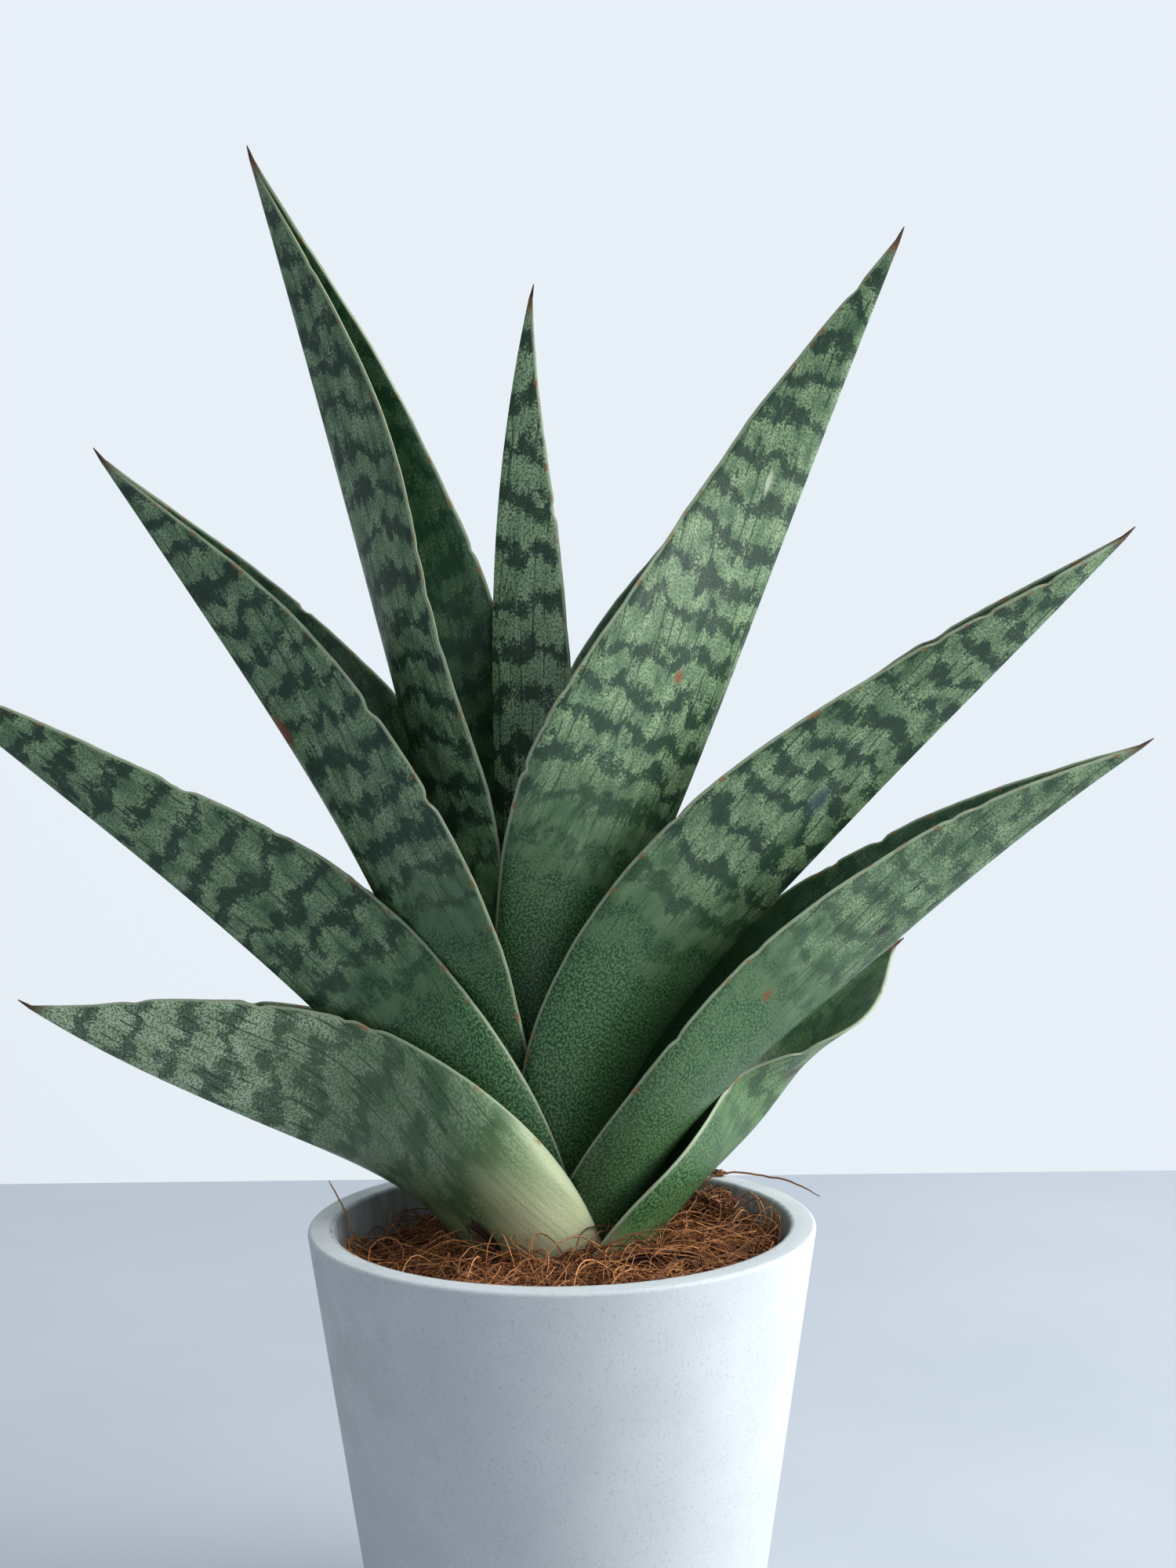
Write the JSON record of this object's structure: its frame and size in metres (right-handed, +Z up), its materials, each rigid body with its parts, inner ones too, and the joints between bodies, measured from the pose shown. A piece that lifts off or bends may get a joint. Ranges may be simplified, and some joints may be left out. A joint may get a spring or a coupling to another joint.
{
  "type": "potted_plant",
  "caption": "Potted snake plant: a grey straight-sided tapered pot of coir with long folded, cross-banded leaves fanned out in one plane.",
  "frame": {"origin": "centre of the pot's flat base, on the surface it stands on", "axes": "+X runs towards the right-hand leaves, along the plane that the fan of leaves spreads in. +Y runs from the front of the pot to its back, across the fan. +Z is up, from the pot's base to the leaf tips."},
  "size_m": [0.3598, 0.1496, 0.4404],
  "materials": {
    "pot_stoneware": "matte, pale cool grey",
    "coir": "dry tangled fibre",
    "rhizome_skin": "smooth waxy skin",
    "root_skin": "matte",
    "leaf_banded": "satin, grey-green with dark cross-bands",
    "coir_loose": "dry fibre"
  },
  "bodies": {
    "root": {"pot": "pot_stoneware", "coir_fill": "coir", "rhizome": "rhizome_skin", "root_1": "root_skin", "root_2": "root_skin", "root_3": "root_skin", "root_4": "root_skin", "root_5": "root_skin", "root_6": "root_skin", "leaf_back_right": "leaf_banded", "leaf_low_left": "leaf_banded", "leaf_low_right": "leaf_banded", "leaf_left": "leaf_banded", "leaf_right": "leaf_banded", "leaf_upper_left": "leaf_banded", "leaf_upper_right": "leaf_banded", "leaf_tall_left": "leaf_banded", "leaf_centre": "leaf_banded", "coir_clump": "coir_loose", "rim_crumb": "coir_loose", "husk_strip_left": "coir_loose", "husk_strip_right": "coir_loose", "strand_over_rim": "coir_loose", "strand_left": "coir_loose", "strand_front": "coir_loose"}
  },
  "joints": []
}
